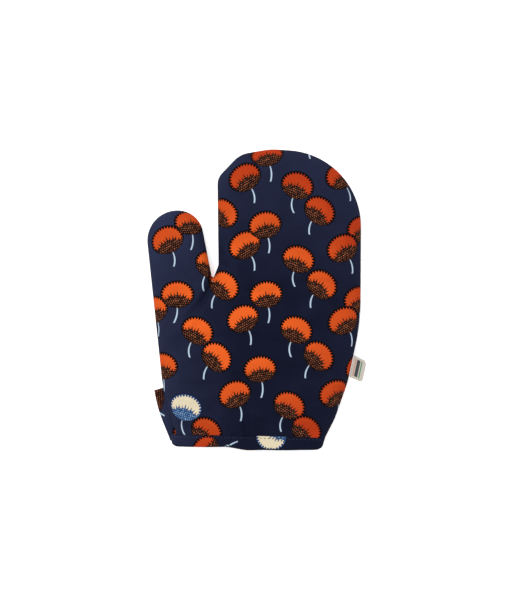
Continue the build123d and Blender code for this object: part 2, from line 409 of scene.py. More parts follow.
def inside(points, loop):
    """Which points lie inside a closed loop."""
    x, y = points[:, 0], points[:, 1]
    within = np.zeros(len(points), bool)
    for (x0, y0), (x1, y1) in zip(loop, np.roll(loop, -1, axis=0)):
        crosses = (y0 > y) != (y1 > y)
        if y1 != y0:
            within ^= crosses & (x < (x1 - x0) * (y - y0) / (y1 - y0) + x0)
    return within


def loop_gap(points, loop):
    """Distance from each point to a densely spaced loop."""
    gap = np.full(len(points), np.inf)
    for p in loop:
        gap = np.minimum(gap, np.hypot(points[:, 0] - p[0], points[:, 1] - p[1]))
    return gap


def rim(tris):
    """The boundary edges of a set of triangles, in the triangles' own direction."""
    edges = np.concatenate([tris[:, [0, 1]], tris[:, [1, 2]], tris[:, [2, 0]]])
    have = {tuple(e) for e in edges}
    return [e for e in map(tuple, edges) if (e[1], e[0]) not in have]


# ---------------------------------------------------------------- the cloth's own wrinkles

NET_STEP = 4.5  # between the points of the simulated cushion
SLOW_BLUR = 14.0  # wider swellings than this are left to the sewn shape
WRINKLE_CAP = 2.2
SETTLE_FRAMES = 24
CLOTH_EASE = 0.05  # how much fuller than the shape the cloth is


def cushion_net():
    """A closed coarse cushion in the mitt's outline: its points, its faces, and its rim's length."""
    marks = seam_marks()
    side = even(EDGE[marks["first"] : marks["last"] + 1], NET_STEP)
    cuff = even(side[[-1, 0]], NET_STEP)
    loop = np.concatenate([side[:-1], cuff[:-1]])
    inner = staggered(loop, NET_STEP)
    inner = inner[loop_gap(inner, loop) > 0.6 * NET_STEP]
    plan, tris = triangles(loop, inner)
    shape = Plan(plan)
    heights = {front: shape.heights(front) for front in (True, False)}
    upper = np.column_stack([plan, SEAM_Z + heights[True]])
    lower = np.column_stack([plan, SEAM_Z - heights[False]])[len(loop) :]
    below = np.where(tris < len(loop), tris, tris + len(inner))
    return np.concatenate([upper, lower]), np.concatenate([tris, below[:, ::-1]]), len(loop)


def simulate_cushion(points, faces, rim_count):
    """Runs the cushion as slightly full cloth under pressure, held along its seam."""
    mesh = bpy.data.meshes.new("settling_cushion")
    mesh.from_pydata([tuple(p) for p in points * MM], [], [tuple(map(int, f)) for f in faces])
    cushion = bpy.data.objects.new("settling_cushion", mesh)
    bpy.context.scene.collection.objects.link(cushion)
    cushion.vertex_groups.new(name="seam").add(list(range(rim_count)), 1.0, "REPLACE")
    cloth = cushion.modifiers.new("settle", "CLOTH")
    cloth.point_cache.frame_end = SETTLE_FRAMES
    cloth.collision_settings.use_collision = False
    settings = cloth.settings
    settings.quality = 6
    settings.vertex_group_mass = "seam"
    settings.effector_weights.gravity = 0
    settings.use_pressure = True
    settings.uniform_pressure_force = 4
    settings.shrink_min = -CLOTH_EASE
    settings.bending_stiffness = 0.3
    for k in range(1, SETTLE_FRAMES + 1):
        bpy.context.scene.frame_set(k)
    settled = cushion.evaluated_get(bpy.context.evaluated_depsgraph_get()).to_mesh()
    out = np.array([v.co for v in settled.vertices]) / MM
    bpy.data.objects.remove(cushion)
    bpy.data.meshes.remove(mesh)
    bpy.context.scene.frame_set(1)
    return out


def settle():
    """Keeps the simulation's narrow wrinkles, capped, as heights for both sides of the mitt."""
    points, faces, rim_count = cushion_net()
    moved = simulate_cushion(points, faces, rim_count)[:, 2] - points[:, 2]
    count = (len(points) + rim_count) // 2
    sides = {True: moved[:count], False: -np.concatenate([moved[:rim_count], moved[count:]])}
    plan = points[:count, :2]
    for front, rise in sides.items():
        narrow = rise - blurred(plan, plan, rise, SLOW_BLUR)
        NET[front] = np.clip(narrow, -WRINKLE_CAP, WRINKLE_CAP)
    NET["points"] = plan


settle()

PANELS = {}
for part, bounds in cut_loops().items():
    plan_points, plan_tris = fill(*bounds)
    PANELS[part] = (Plan(plan_points), plan_tris)


# ---------------------------------------------------------------- the printed cloth

# Four flowers to a repeat: lean, and the way from a head's base to its stem's end and its bow.
LEAN = {"a1": 13.0, "a2": 31.0, "b1": -20.0, "b2": -38.0}
STEM = {
    "a1": (0.8, -15.7, 1.3),
    "a2": (3.0, -14.5, 1.4),
    "b1": (0.8, -15.3, -1.9),
    "b2": (-2.4, -13.5, -1.3),
}
# A head's half width, and its reach up and down from its middle.
HEAD_WIDE, HEAD_HIGH, HEAD_LOW = 15.6, 12.8, 12.0
HEAD_DROP = 12.4  # from a head's middle to its base
STEM_LONG = 15.7

# Where the printed repeat falls on the front panel: flower, x, y, and the cloth's own turn.
FRONT_FLOWERS = [
    ("a2", -12, 121, 0), ("a1", 10, 144, 0), ("a2", -12, 54, 0), ("a1", 8, 74, 0),
    ("a2", -14, -19, -4), ("a1", 9, 5, -3), ("a2", -22, -94, -8), ("a1", 3, -69, -5),
    ("b1", 40, 113, 0), ("b2", 62, 88, 0), ("b1", 41, 40, 0), ("b2", 64, 15, -2),
    ("b1", 39, -30, -4), ("b2", 61, -56, -8), ("b1", 32, -105, -10), ("b2", 49, -130, -10),
    ("b2", 63, 164, 0), ("a2", 82, 122, 0), ("a1", 107, 70, 0), ("a2", 85, 51, 0),
    ("a1", 100, 0, 0), ("a2", 86, -21, -2), ("a1", 105, -69, -4), ("a2", 77, -93, -6),
    ("b1", -44, 35, -8), ("b2", -33, 86, -4), ("b1", -59, -31, -9), ("b2", -33, 14, -4),
    ("b2", -40, -57, -7), ("b1", -71, -107, 6), ("b2", -50, -131, -4),
    ("a2", -89, 59, -6), ("a1", -66, 77, -8), ("a2", -101, -10, -12), ("a1", -79, 5, -14),
    ("a1", -93, -66, -12),
]
CREAM_FLOWERS = {("b1", -71, -107)}
THUMB_FLOWERS = {("b1", -44, 35)}  # heads that stop at the notch; only their stems reach the palm

FAR_AWAY = 1000.0

# The back panel's repeat, cut from the same cloth turned a little.
REPEAT_X, REPEAT_Y = 93.0, 72.5
REPEAT_OFFSETS = {
    "a2": (-21.0, -22.0),
    "a1": (0.0, 0.0),
    "b1": (32.0, -35.0),
    "b2": (55.0, -60.0),
}
BACK_TURN, BACK_SHIFT = 5.0, (6.0, -10.0)


def turned(vectors, degrees):
    """Plan vectors turned anticlockwise."""
    a = math.radians(degrees)
    x, y = np.asarray(vectors, float).T
    return np.stack([x * math.cos(a) - y * math.sin(a), x * math.sin(a) + y * math.cos(a)], -1)


class Flower:
    """One printed flower: its head's place and lean, and its stem's arc."""

    def __init__(self, at, lean, start=None, way=(0.0, -STEM_LONG), bow=1.3, cream=False):
        self.at = np.array(at, float)
        self.lean = lean
        base = self.at + turned([0, -HEAD_DROP], lean)
        self.start = base if start is None else np.array(start)
        self.way = np.array(way, float)
        self.bow = bow
        self.cream = float(cream)
        self.tone = 0.5 + 0.5 * noise.noise(Vector((self.at[0] / 31, self.at[1] / 31, 0.4)))

    def head(self, p):
        """Points in the head's own frame."""
        return turned(p - self.at, -self.lean)

    def stem(self, p):
        """Points as the way along the stem's arc and the distance across it."""
        long = np.linalg.norm(self.way)
        u = self.way / long
        along = (p - self.start) @ u
        across = (p - self.start) @ np.array([-u[1], u[0]])
        share = along / long
        return np.stack([along * STEM_LONG / long, across - self.bow * 4 * share * (1 - share)], -1)


def repeat_flower(kind, at, turn, cream=False):
    """One of the repeat's four flowers."""
    dx, dy, bow = STEM[kind]
    return Flower(at, LEAN[kind] + turn, way=turned([dx, dy], turn), bow=bow, cream=cream)


def front_flowers(part):
    """The front panel's flowers, moved from their plan places to the flat cloth."""
    flowers = []
    for kind, x, y, turn in FRONT_FLOWERS:
        at = Plan(np.array([[x, y]], float)).flat(True)[0]
        flower = repeat_flower(kind, at, turn, (kind, x, y) in CREAM_FLOWERS)
        if part == "hand" and (kind, x, y) in THUMB_FLOWERS:
            flower.at = flower.at + (0, FAR_AWAY)
        flowers.append(flower)
    return flowers


def back_flowers():
    """The back panel's flowers, repeated over more than its size."""
    flowers = []
    for i in range(-2, 3):
        for j in range(-2, 4):
            for kind, (dx, dy) in REPEAT_OFFSETS.items():
                place = np.array([i * REPEAT_X + dx, j * REPEAT_Y + dy]) + BACK_SHIFT
                flowers.append(repeat_flower(kind, turned(place, BACK_TURN), BACK_TURN))
    return flowers


UV_SCALE = 0.01  # the print's UV maps hold millimetres times this


def face_corners(mesh):
    """The vertex at every corner of every face."""
    corners = np.zeros(len(mesh.loops), int)
    mesh.loops.foreach_get("vertex_index", corners)
    return corners


def add_map(mesh, name, places):
    """A UV map from millimetres at every corner."""
    layer = mesh.uv_layers.new(name=name)
    layer.data.foreach_set("uv", (places * UV_SCALE).ravel().astype(np.float32))


def print_cloth(mesh, flat, flowers):
    """Gives every face the two heads and the stem that may fall on it, as UV maps.

    flat holds each vertex's place on the flat cloth, in millimetres."""
    totals = np.array([p.loop_total for p in mesh.polygons])
    face = np.repeat(np.arange(len(totals)), totals)
    spot = flat[face_corners(mesh)]
    middle = np.stack([np.bincount(face, spot[:, k]) for k in (0, 1)], 1) / totals[:, None]
    heads = np.stack([np.linalg.norm(f.head(middle) * [1, 1.12], axis=1) for f in flowers])
    two = np.sort(heads.argsort(0)[:2], axis=0)
    stems = np.stack([stem_gap(f, middle) for f in flowers]).argmin(0)
    picks = {"head_low": two[0], "head_top": two[1], "stem": stems}
    for name, pick in picks.items():
        uv = np.zeros((len(face), 2))
        for i, f in enumerate(flowers):
            mine = pick[face] == i
            uv[mine] = f.stem(spot[mine]) if name == "stem" else f.head(spot[mine])
        add_map(mesh, name, uv)
    tone = mesh.color_attributes.new("tone", "FLOAT_COLOR", "CORNER")
    cream, shade = np.array([f.cream for f in flowers]), np.array([f.tone for f in flowers])
    values = np.stack([cream[two[0]], cream[two[1]], shade[two[1]], cream[stems]], 1)[face]
    tone.data.foreach_set("color", values.ravel().astype(np.float32))
    add_map(mesh, "cloth", spot)


def stem_gap(flower, p):
    """Distance from points to a flower's stem."""
    s = flower.stem(p)
    long = np.linalg.norm(flower.way)
    return np.hypot(np.clip(s[:, 0] - long, 0, None) + np.clip(-s[:, 0], 0, None), s[:, 1])


# ---------------------------------------------------------------- materials


def plug(tree, slot, value):
    """Links an output to a socket, or sets the socket to a value."""
    if isinstance(value, Wire):
        value = value.socket
    if hasattr(value, "is_output"):
        tree.links.new(value, slot)
    else:
        slot.default_value = value


class Wire:
    """A node's output, so that sums of nodes can be written as sums."""

    def __init__(self, tree, socket):
        self.tree, self.socket = tree, socket

    def run(self, operation, *others):
        """One step of arithmetic on this output."""
        node = self.tree.nodes.new("ShaderNodeMath")
        node.operation = operation
        for slot, value in zip(node.inputs, (self, *others)):
            plug(self.tree, slot, value)
        return Wire(self.tree, node.outputs[0])

    def __add__(self, other):
        return self.run("ADD", other)

    def __sub__(self, other):
        return self.run("SUBTRACT", other)

    def __mul__(self, other):
        return self.run("MULTIPLY", other)

    def over(self, other):
        return self.run("DIVIDE", other)

    def low(self, other):
        return self.run("MINIMUM", other)

    def high(self, other):
        return self.run("MAXIMUM", other)

    def ramp(self, low, high):
        """0 below low, 1 above high; the other way round where low is the higher."""
        node = self.tree.nodes.new("ShaderNodeMapRange")
        for name, value in (("Value", self), ("From Min", low), ("From Max", high)):
            plug(self.tree, node.inputs[name], value)
        return Wire(self.tree, node.outputs["Result"])

    def wave(self, pitch):
        """A triangle wave from 0 to 1 and back in each pitch."""
        return (self.over(pitch).run("FRACT") - 0.5).run("ABSOLUTE") * 2.0


def node(tree, kind, **inputs):
    """A new node with its inputs set or linked."""
    made = tree.nodes.new(kind)
    for name, value in inputs.items():
        plug(tree, made.inputs[name.replace("_", " ")], value)
    return made


def mix(tree, factor, a, b):
    """One colour over another."""
    made = tree.nodes.new("ShaderNodeMix")
    made.data_type = "RGBA"
    plug(tree, made.inputs["Factor"], factor)
    for slot, colour in ((made.inputs[6], a), (made.inputs[7], b)):
        plug(tree, slot, (*colour, 1.0) if isinstance(colour, tuple) else colour)
    return made.outputs[2]


def srgb(red, green, blue):
    """A linear colour from 0 to 255 display values."""
    out = []
    for c in (red, green, blue):
        c /= 255
        out.append(c / 12.92 if c <= 0.04045 else ((c + 0.055) / 1.055) ** 2.4)
    return tuple(out)


# The navy ground's deep tone, and a lighter copy of it that paints sheen and light onto the ground;
# the deep tone also outlines the cream heads.
NAVY_PAINTED_LIGHT = srgb(38, 43, 68)
NAVY_DEEP = srgb(16, 19, 36)
OUTLINE_BLACK = srgb(9, 6, 9)
# The heads' orange, and a darker copy of it that paints shade towards the mitt's edges.
ORANGE = srgb(212, 88, 32)
ORANGE_PAINTED_SHADE = srgb(165, 52, 20)
SEED_BROWN = srgb(158, 93, 62)
CREAM = srgb(205, 193, 165)
CREAM_BASE = srgb(28, 60, 106)
CREAM_SEED = srgb(150, 186, 210)
STEM_BLUE = srgb(170, 189, 205)
STEM_EDGE = srgb(13, 20, 50)


def uv_wires(tree, name):
    """A UV map's two values, back in millimetres."""
    split = node(tree, "ShaderNodeSeparateXYZ", Vector=uv_map(tree, name))
    return [Wire(tree, split.outputs[k]) * (1 / UV_SCALE) for k in ("X", "Y")]


def uv_map(tree, name):
    """A UV map's output."""
    made = tree.nodes.new("ShaderNodeUVMap")
    made.uv_map = name
    return made.outputs["UV"]


TOOTH_TURN, TOOTH = 0.19, 1.8  # angle between a head's teeth, and their length
HALO = 1.3  # width of the dark line round a head
SEED_PITCH = 2.1


def head_marks(tree, name):
    """Masks of a printed head: with its dark outline, without it, its crown and its seeds."""
    x, y = uv_wires(tree, name)
    tall = y.over(HEAD_HIGH).high(y.over(-HEAD_LOW))
    wide = x.over(HEAD_WIDE)
    r = (wide * wide + tall * tall).run("SQRT")
    reach = (x * x + y * y).run("SQRT")
    edge = (r - 1.0) * reach.over(r.high(0.05))  # distance outside the head's ellipse
    angle = x.run("ARCTAN2", y + 3.0)
    gaps = (angle.wave(TOOTH_TURN) * -2.4 + 2.05).high(0.0).low(1.0) * y.ramp(-9.0, -3.0) * TOOTH
    crown_edge = (edge + gaps).ramp(0.2, -0.2)
    spread = x.run("ARCTAN2", y + 17.0)
    spikes = (spread.wave(0.17) * 2.4 - 1.0).high(0.0) * 2.7 + spread.wave(0.41) * 1.8
    bottom = y + x * x * 0.03 + 1.6 - spikes
    crown = crown_edge.low(bottom.ramp(-0.15, 0.2))
    outline = (edge - HALO).ramp(0.3, -0.3)
    body = (edge - 0.5).ramp(0.3, -0.3)
    return outline, body, crown, seed_spots(tree, x, y).low(body).low(bottom.ramp(-0.5, -1.4))


def seed_spots(tree, x, y):
    """Small spots in staggered rows, each a little out of place and of its own strength."""
    stray = cloth_noise(tree, 45.0)
    row = (y + stray * 2.2).over(SEED_PITCH)
    side = (x - stray * 1.6).over(SEED_PITCH) + row.run("FLOOR") * 0.5
    cell = node(tree, "ShaderNodeCombineXYZ", X=side.run("FLOOR"), Y=row.run("FLOOR"))
    chance = node(tree, "ShaderNodeTexWhiteNoise", Vector=cell.outputs["Vector"]).outputs["Value"]
    across, along = side.run("FRACT") - 0.5, row.run("FRACT") - 0.5
    spot = (across * across + along * along).run("SQRT").ramp(0.37, 0.2)
    return spot * (Wire(tree, chance) * 0.75 + 0.25)


def printed_colour(tree):
    """The wax print: heads, their seeds and stems on a navy ground, with painted light and shade over
    the navy and the orange.
    """
    tone = node(tree, "ShaderNodeSeparateColor", Color=attribute(tree, "tone"))
    cream_low, cream_top, shade = (Wire(tree, tone.outputs[k]) for k in ("Red", "Green", "Blue"))
    x, y = uv_wires(tree, "cloth")
    blotch, grain = cloth_noise(tree, 3.0, 3.0), cloth_noise(tree, 90.0)
    # Painted light: the navy ground is painted lighter towards the thumb and the fingertips, and a
    # little towards the right edge, standing in for sheen and light from the left; random blotches
    # vary it.
    painted_sheen_and_blotch = y.ramp(0.0, 130.0) * 0.5 + x.ramp(-15.0, -95.0) * 0.65 + x.ramp(40.0, 100.0) * 0.15
    painted_sheen_and_blotch = painted_sheen_and_blotch + (blotch - 0.5) * 0.5
    # Painted light: the orange is painted brighter over the palm and darker towards the mitt's edges,
    # a painted light falloff, varied by random blotches and each flower's own tone.
    centre = ((x + 20.0) * (x + 20.0) + (y + 10.0) * (y + 10.0)).run("SQRT")
    orange_painted_light_and_tone = (centre - blotch * 30.0 - shade * 16.0).ramp(115.0, 25.0)
    ground = mix(tree, painted_sheen_and_blotch, NAVY_DEEP, NAVY_PAINTED_LIGHT)
    along, across = uv_wires(tree, "stem")
    body = (along - STEM_LONG / 2).run("ABSOLUTE").ramp(STEM_LONG / 2 + 0.3, STEM_LONG / 2 - 0.2)
    half = along.ramp(0.0, STEM_LONG / 2) * 0.25 + 0.45
    aside = across.run("ABSOLUTE") - half
    colour = mix(tree, (aside - 0.5).ramp(0.25, -0.25).low(body), ground, STEM_EDGE)
    colour = mix(tree, aside.ramp(0.2, -0.15).low(body), colour, STEM_BLUE)
    for name, cream in (("head_low", cream_low), ("head_top", cream_top)):
        outline, body, crown, seeds = head_marks(tree, name)
        orange = mix(tree, orange_painted_light_and_tone, ORANGE_PAINTED_SHADE, ORANGE)
        colour = mix(tree, outline, colour, mix(tree, cream, OUTLINE_BLACK, NAVY_DEEP))
        colour = mix(tree, body, colour, mix(tree, cream, OUTLINE_BLACK, CREAM_BASE))
        colour = mix(tree, seeds, colour, mix(tree, cream, SEED_BROWN, CREAM_SEED))
        colour = mix(tree, crown, colour, mix(tree, cream, orange, CREAM))
    return colour, grain


def cloth_noise(tree, scale, detail=2.0):
    """Noise laid out on the flat cloth."""
    made = node(tree, "ShaderNodeTexNoise", Vector=uv_map(tree, "cloth"), Scale=scale, Detail=detail)
    return Wire(tree, made.outputs["Fac"])


def attribute(tree, name):
    """A colour attribute of the mesh."""
    made = tree.nodes.new("ShaderNodeAttribute")
    made.attribute_name = name
    return made.outputs["Color"]


WEAVE_DEPTH = 0.0003  # in metres


def weave_bump(tree, pitch, strength):
    """A plain weave's bump on the cloth map, threads over and under by turns."""
    x, y = uv_wires(tree, "cloth")
    column, row = x.over(pitch).run("FLOOR"), y.over(pitch).run("FLOOR")
    check = (column + row).run("MODULO", 2.0).run("ABSOLUTE")
    warp, weft = x.wave(pitch), y.wave(pitch)
    height = check * (warp - weft) + weft
    fuzz, slub = cloth_noise(tree, 160.0, 4.0), cloth_noise(tree, 14.0, 3.0)
    total = height * 0.5 + fuzz * 0.8 + slub * 2.0
    bump = node(tree, "ShaderNodeBump", Strength=strength, Distance=WEAVE_DEPTH, Height=total)
    return bump.outputs["Normal"]


def material(name, roughness, sheen, gloss=0.25):
    """A new material with its surface shader; colour comes later."""
    made = bpy.data.materials.new(name)
    made.use_nodes = True
    tree = made.node_tree
    shader = tree.nodes["Principled BSDF"]
    shader.inputs["Roughness"].default_value = roughness
    shader.inputs["Sheen Weight"].default_value = sheen
    shader.inputs["Sheen Roughness"].default_value = 0.5
    shader.inputs["Specular IOR Level"].default_value = gloss
    return made, tree, shader


def printed_cotton():
    """The mitt's printed cloth, matt, with a weave."""
    made, tree, shader = material("printed_cotton", 0.8, 0.0, 0.03)
    colour, grain = printed_colour(tree)
    worn = node(tree, "ShaderNodeHueSaturation", Color=colour, Value=grain * 0.16 + 0.92)
    tree.links.new(worn.outputs["Color"], shader.inputs["Base Color"])
    tree.links.new(weave_bump(tree, 0.42, 0.35), shader.inputs["Normal"])
    return made


def plain_cloth(name, colour, other, pitch, strength, roughness=0.85, scale=22.0):
    """Plain cloth or wadding in two close tones."""
    made, tree, shader = material(name, roughness, 0.15)
    patch = cloth_noise(tree, scale, 5.0).ramp(0.3, 0.7)
    tree.links.new(mix(tree, patch, colour, other), shader.inputs["Base Color"])
    tree.links.new(weave_bump(tree, pitch, strength), shader.inputs["Normal"])
    return made


# Stripes across the label: place, half width at the outside and the inside of its edge, colour.
LABEL_STRIPES = (
    (6.0, 1.9, 1.6, srgb(52, 56, 60)),
    (9.4, 0.75, 0.5, srgb(70, 128, 96)),
    (2.9, 0.45, 0.25, srgb(176, 78, 60)),
)
STRIPE_ENDS = 8.6, 8.3  # half length, outside and inside of its edge


def label_cloth():
    """Off-white woven tape with plain stripes across it."""
    made, tree, shader = material("label_weave", 0.7, 0.2)
    x, y = uv_wires(tree, "cloth")
    threads = y.wave(0.5) * 0.25 + x.wave(0.7) * 0.15
    colour = mix(tree, threads.ramp(0.0, 0.4), srgb(168, 161, 151), srgb(198, 191, 180))
    ends = y.run("ABSOLUTE").ramp(*STRIPE_ENDS)
    for place, outside, within, dye in LABEL_STRIPES:
        stripe = (x - place).run("ABSOLUTE").ramp(outside, within).low(ends)
        colour = mix(tree, stripe, colour, dye)
    tree.links.new(colour, shader.inputs["Base Color"])
    tree.links.new(weave_bump(tree, 0.5, 0.5), shader.inputs["Normal"])
    return made


WADDING_TONES = srgb(232, 228, 216), srgb(214, 208, 192)
LINING_TONES = srgb(216, 204, 180), srgb(200, 186, 160)
THREAD_TONES = srgb(20, 23, 46), srgb(14, 16, 34)
MATERIALS = {
    "printed_cotton": printed_cotton(),
    "batting": plain_cloth("batting", *WADDING_TONES, 2.6, 0.9, 0.95, 60.0),
    "lining_cloth": plain_cloth("lining_cloth", *LINING_TONES, 0.5, 0.5),
    "navy_thread": plain_cloth("navy_thread", *THREAD_TONES, 0.4, 0.5, 0.8),
    "label_weave": label_cloth(),
}
MATERIALS["binding_cotton"] = MATERIALS["printed_cotton"].copy()
MATERIALS["binding_cotton"].name = "binding_cotton"


# ---------------------------------------------------------------- pieces


def new_piece(name, points, faces, slot):
    """A piece from points in millimetres, with its material and slot."""
    mesh = bpy.data.meshes.new(name)
    corners = [tuple(p) for p in np.asarray(points) * MM]
    mesh.from_pydata(corners, [], [tuple(map(int, f)) for f in faces])
    mesh.validate()
    mesh.shade_smooth()
    mesh.set_sharp_from_angle(angle=math.radians(50))
    piece = bpy.data.objects.new(name, mesh)
    bpy.context.scene.collection.objects.link(piece)
    mesh.materials.append(MATERIALS[slot])
    return piece


def cloth_map(mesh, flat):
    """The flat cloth's coordinates as a UV map."""
    add_map(mesh, "cloth", flat[face_corners(mesh)])


def lay_cloth(piece, flat, flowers):
    """Maps the cloth onto a piece, printed if it has flowers."""
    if flowers:
        print_cloth(piece.data, flat, flowers)
    else:
        cloth_map(piece.data, flat)


def bend(piece, part):
    """Bakes a piece's place into its mesh; where the fingers' or the thumb's bend would start and end
    is worked out but not used.
    """
    if part == "thumb":
        low, high = (THUMB_AT + THUMB_ACROSS * s for s in THUMB_BEND)
        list(low * MM)
        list(high * MM)
        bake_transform(piece)
    else:
        low, high = (KNUCKLE_Y + s for s in FINGER_BEND)
        low * MM
        high * MM
        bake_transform(piece)


# ---- the panels

BODIES = {"hand": ("palm", "fingers"), "thumb": ("thumb",)}
LAYERS = [
    ("cloth", "shell", 0.0, 0.45, "printed_cotton"),
    ("wadding", "batting", 0.65, 4.5, "batting"),
    ("lining", "lining", 4.7, 5.1, "lining_cloth"),
]


def layer_piece(name, part, front, depths, slot, flowers):
    """One closed layer of a panel, from one depth under the cloth's face to another."""
    plan, tris = PANELS[part]
    count = len(plan.points)
    layers = [plan.layer(front, depth) for depth in depths]
    faces = [t if front else t[::-1] for t in tris]
    faces += [(t[::-1] if front else t) + count for t in tris]
    for a, b in rim(tris):
        quad = (a, a + count, b + count, b)
        faces.append(quad if front else quad[::-1])
    piece = new_piece(name, np.concatenate(layers), faces, slot)
    lay_cloth(piece, np.tile(plan.flat(front), (2, 1)), flowers)
    return piece


def cut_size(part, front):
    """A panel's flat cloth: its two sides in metres and its area in square metres."""
    plan, tris = PANELS[part]
    flat = plan.flat(front) * MM
    ab, ac = flat[tris[:, 1]] - flat[tris[:, 0]], flat[tris[:, 2]] - flat[tris[:, 0]]
    area = float(np.abs(ab[:, 0] * ac[:, 1] - ab[:, 1] * ac[:, 0]).sum() / 2)
    return tuple(float(v) for v in flat.max(0) - flat.min(0)), area


def make_panels():
    """The cloth, wadding and lining of the hand and the thumb, front and back."""
    for front, part in ((f, p) for f in (True, False) for p in BODIES):
        side = "front" if front else "back"
        size, area = cut_size(part, front)
        for word, node_word, outer, inner, slot in LAYERS:
            flowers = None
            if word == "cloth":
                flowers = front_flowers(part) if front else back_flowers()
            name = f"{side}_{word}_{part}"
            piece = layer_piece(name, part, front, (outer, inner), slot, flowers)
            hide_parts(*(f"{body}_{side}_{node_word}" for body in BODIES[part]))
            bend(piece, part)


# ---- threads


THREAD_SIDES = 6  # of a thread's section
THREAD_END = 0.45  # the radius at a thread's two ends, as a share of the rest


def thread(path, radius):
    """A closed round thread along a path of points; its ends are rounded off."""
    sides = THREAD_SIDES
    path = np.asarray(path, float)
    tangents = np.gradient(path, axis=0)
    rings = []
    for i, (p, t) in enumerate(zip(path, tangents)):
        t = unit(t)
        side = unit(np.cross(t, (0.31, 0.17, 0.93)))
        up = np.cross(side, t)
        r = radius * (THREAD_END if i in (0, len(path) - 1) else 1.0)
        angles = 2 * math.pi * np.arange(sides) / sides
        rings.append(p + r * (np.outer(np.cos(angles), side) + np.outer(np.sin(angles), up)))
    faces = wrap_faces(len(path), sides, False, True)
    faces.append(tuple(range(sides))[::-1])
    faces.append(tuple((len(path) - 1) * sides + j for j in range(sides)))
    return np.concatenate(rings), faces


def join(parts):
    """One list of points and one of faces out of several."""
    points, faces, start = [], [], 0
    for p, f in parts:
        points.append(p)
        faces += [tuple(int(i) + start for i in face) for face in f]
        start += len(p)
    return np.concatenate(points), faces


def outward(points, faces):
    """The same faces, turned if they wind inwards."""
    volume = 0.0
    for face in faces:
        a = points[face[0]]
        for b, c in zip(face[1:-1], face[2:]):
            volume += a @ np.cross(points[b], points[c])
    return faces if volume > 0 else [tuple(f)[::-1] for f in faces]


def thread_piece(name, paths, radius, nodes):
    """One piece of many stitches."""
    parts = [thread(path, radius) for path in paths]
    parts = [(p, outward(p, f)) for p, f in parts]
    points, faces = join(parts)
    piece = new_piece(name, points, faces, "navy_thread")
    cloth_map(piece.data, points[:, :2] + points[:, 2:])
    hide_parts(*nodes)
    return piece


SEAM_PITCH, SEAM_STITCH, SEAM_THREAD = 4.2, 3.1, 0.3


def seam_paths(start, stop):
    """Stitches in the groove of the side seam, between two places along it."""
    paths = []
    count = int((stop - start) / SEAM_PITCH)
    for k in range(count):
        middle = start + (k + 0.5) * (stop - start) / count
        at = middle + SEAM_STITCH * np.linspace(-0.5, 0.5, 5)
        path = np.stack([np.interp(at, EDGE_ALONG, EDGE[:, i]) for i in (0, 1)], 1)
        _, out, _ = to_edge(path + np.array([1e-3, 0]))
        sunk = SEAM_GROOVE + 0.1 + 0.5 * np.abs(np.linspace(-1, 1, 5)) ** 2
        heading = unit(path[-1] - path[0])
        inward = np.array([heading[1], -heading[0]])
        plan = path + inward * sunk[:, None]
        paths.append(np.column_stack([plan, np.full(5, SEAM_Z)]))
    return paths


def make_seams():
    """The side seam's stitches, the hand's and the thumb's."""
    places = seam_places()
    left, tip = places["left"], places["tip"]
    hand = seam_paths(places["first"], left) + seam_paths(tip, places["last"])
    nodes = ("palm_seam_thread", "fingers_seam_thread")
    bend(thread_piece("hand_seam_thread", hand, SEAM_THREAD, nodes), "hand")
    thumb = seam_paths(left, tip)
    bend(thread_piece("thumb_seam_stitching", thumb, SEAM_THREAD, ("thumb_seam_thread",)), "thumb")


# ---- the cuff's binding

PROUD = 0.7  # how far the binding stands out from the cloth
BINDING_CLOTH = 0.5  # thickness of the binding's folded cloth
CUFF_WALL = 5.9  # depth of the binding's inside face
ROUND_UNDER = 2.6  # height of the binding's rounded lower edge
BACK_END_ROLL = 14.0  # how far in from its ends the binding rolls over at the back
BINDING_STITCH_DROP = 2.0
TOPSTITCH_PITCH, TOPSTITCH_LONG, TOPSTITCH_DIP, TOPSTITCH_THREAD = 4.0, 2.7, 0.35, 0.28
FACE_ROW = 6  # a row of the binding in the middle of its face


def cuff_edges(y):
    """The side seam's x at the left and right of the cuff."""
    half = len(EDGE) // 2
    left = np.interp(y, EDGE[:half, 1][:120], EDGE[:half, 0][:120])
    right = np.interp(y, EDGE[::-1][:200, 1], EDGE[::-1][:200, 0])
    return left, right


def cuff_heights(x, y, front):
    """How far the binding's face stands from the seam's plane, above the cloth everywhere."""
    rise = FRONT_RISE if front else BACK_DROP
    reach = EDGE_ROLL if front else BACK_END_ROLL
    own = 0.88 * rise * roll(cuff_end_gap(x, y) / reach)
    left, right = cuff_edges(y)
    plan = Plan(np.column_stack([np.clip(x, left, right), y]))
    cloth = plan.heights(front) * ((x > left) & (x < right))
    wave = 0.3 * lumps(np.column_stack([x, y / 2]), 11.0, 21.5 if front else 33.5)
    return np.maximum(own, cloth + 0.2) + wave * smooth(cuff_end_gap(x, y), 0, 8)


def cuff_end_gap(x, y):
    """Distance from a place on the binding to its nearer end."""
    left, right = binding_ends(y)
    return np.minimum(x - left, right - x)


def cuff_ring(x, y, front, depth):
    """Points round the cuff at a depth under the binding's face."""
    rise = FRONT_RISE if front else BACK_DROP
    height = cuff_heights(x, y, front) * (rise - depth) / rise
    inset = LAYER_INSET * depth * (1 - smooth(cuff_end_gap(x, y), 0, INSET_FADE))
    towards = np.where(x < (BINDING_LEFT + BINDING_RIGHT) / 2, 1, -1)
    z = SEAM_Z + height if front else np.maximum(SEAM_Z - height, 0.1 + np.clip(depth, 0, None))
    return np.column_stack([x + towards * inset, y, z])


def tucked(points, x, front):
    """Draws the binding's upper fold in onto the cloth at the two ends of the cuff."""
    left, right = cuff_edges(points[:, 1])
    shift = (left - BINDING_LEFT) * (1 - smooth(x - BINDING_LEFT, 0, 16))
    shift -= (BINDING_RIGHT - right) * (1 - smooth(BINDING_RIGHT - x, 0, 16))
    moved = points.copy()
    moved[:, 0] += 0.9 * shift
    return moved


